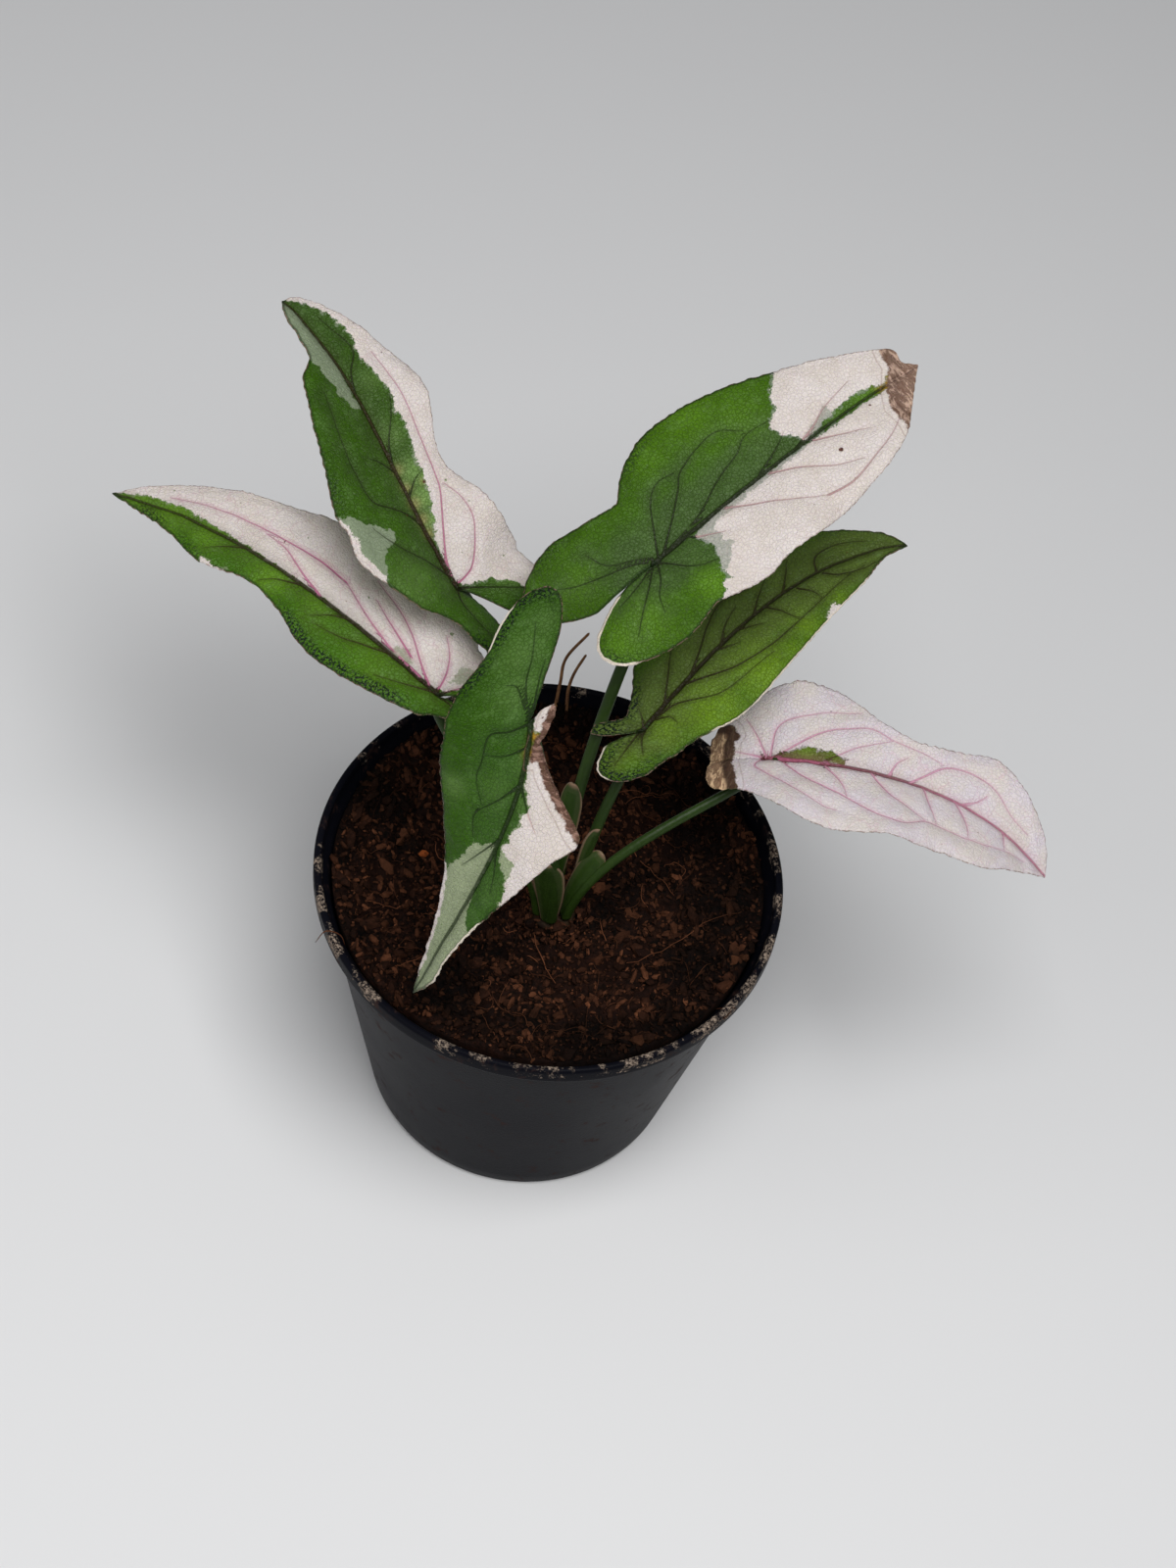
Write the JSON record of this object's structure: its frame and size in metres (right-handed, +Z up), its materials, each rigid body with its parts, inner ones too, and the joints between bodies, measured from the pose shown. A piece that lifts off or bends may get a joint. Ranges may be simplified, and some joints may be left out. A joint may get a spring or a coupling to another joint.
{
  "type": "potted arrowhead plant",
  "caption": "Small variegated arrowhead plant with arrow-shaped leaves on slender stalks, rooted in coir soil in a tapered round nursery pot.",
  "frame": {"origin": "centre of the pot's flat underside", "axes": "+Z up, -Y towards the viewer, +X to the viewer's right"},
  "size_m": [0.2008, 0.113, 0.1822],
  "materials": {
    "pot_plastic": "black satin plastic with pale lime crust on the lip",
    "coir_soil": "rough crumbled coir, stood in for by wood",
    "stem_skin": "smooth green plant skin, stood in for by wood",
    "leaf_back_left": "satin leaf, half green and half cream white",
    "leaf_left": "satin leaf, half green and half pinkish white",
    "leaf_back_right": "satin leaf, green with a cream white half and tip",
    "leaf_front": "satin leaf, dark green with a sage tip and a white patch",
    "leaf_right": "satin leaf, green with dark veins",
    "leaf_low_right": "satin leaf, pinkish white with pink veins",
    "root_skin": "dry brown root"
  },
  "bodies": {
    "root": {"pot": "pot_plastic", "soil": "coir_soil", "stem": "stem_skin", "leaf_back_left": "leaf_back_left", "leaf_left": "leaf_left", "leaf_back_right": "leaf_back_right", "leaf_front": "leaf_front", "leaf_right": "leaf_right", "leaf_low_right": "leaf_low_right", "aerial_root_1": "root_skin", "aerial_root_2": "root_skin"}
  },
  "joints": []
}
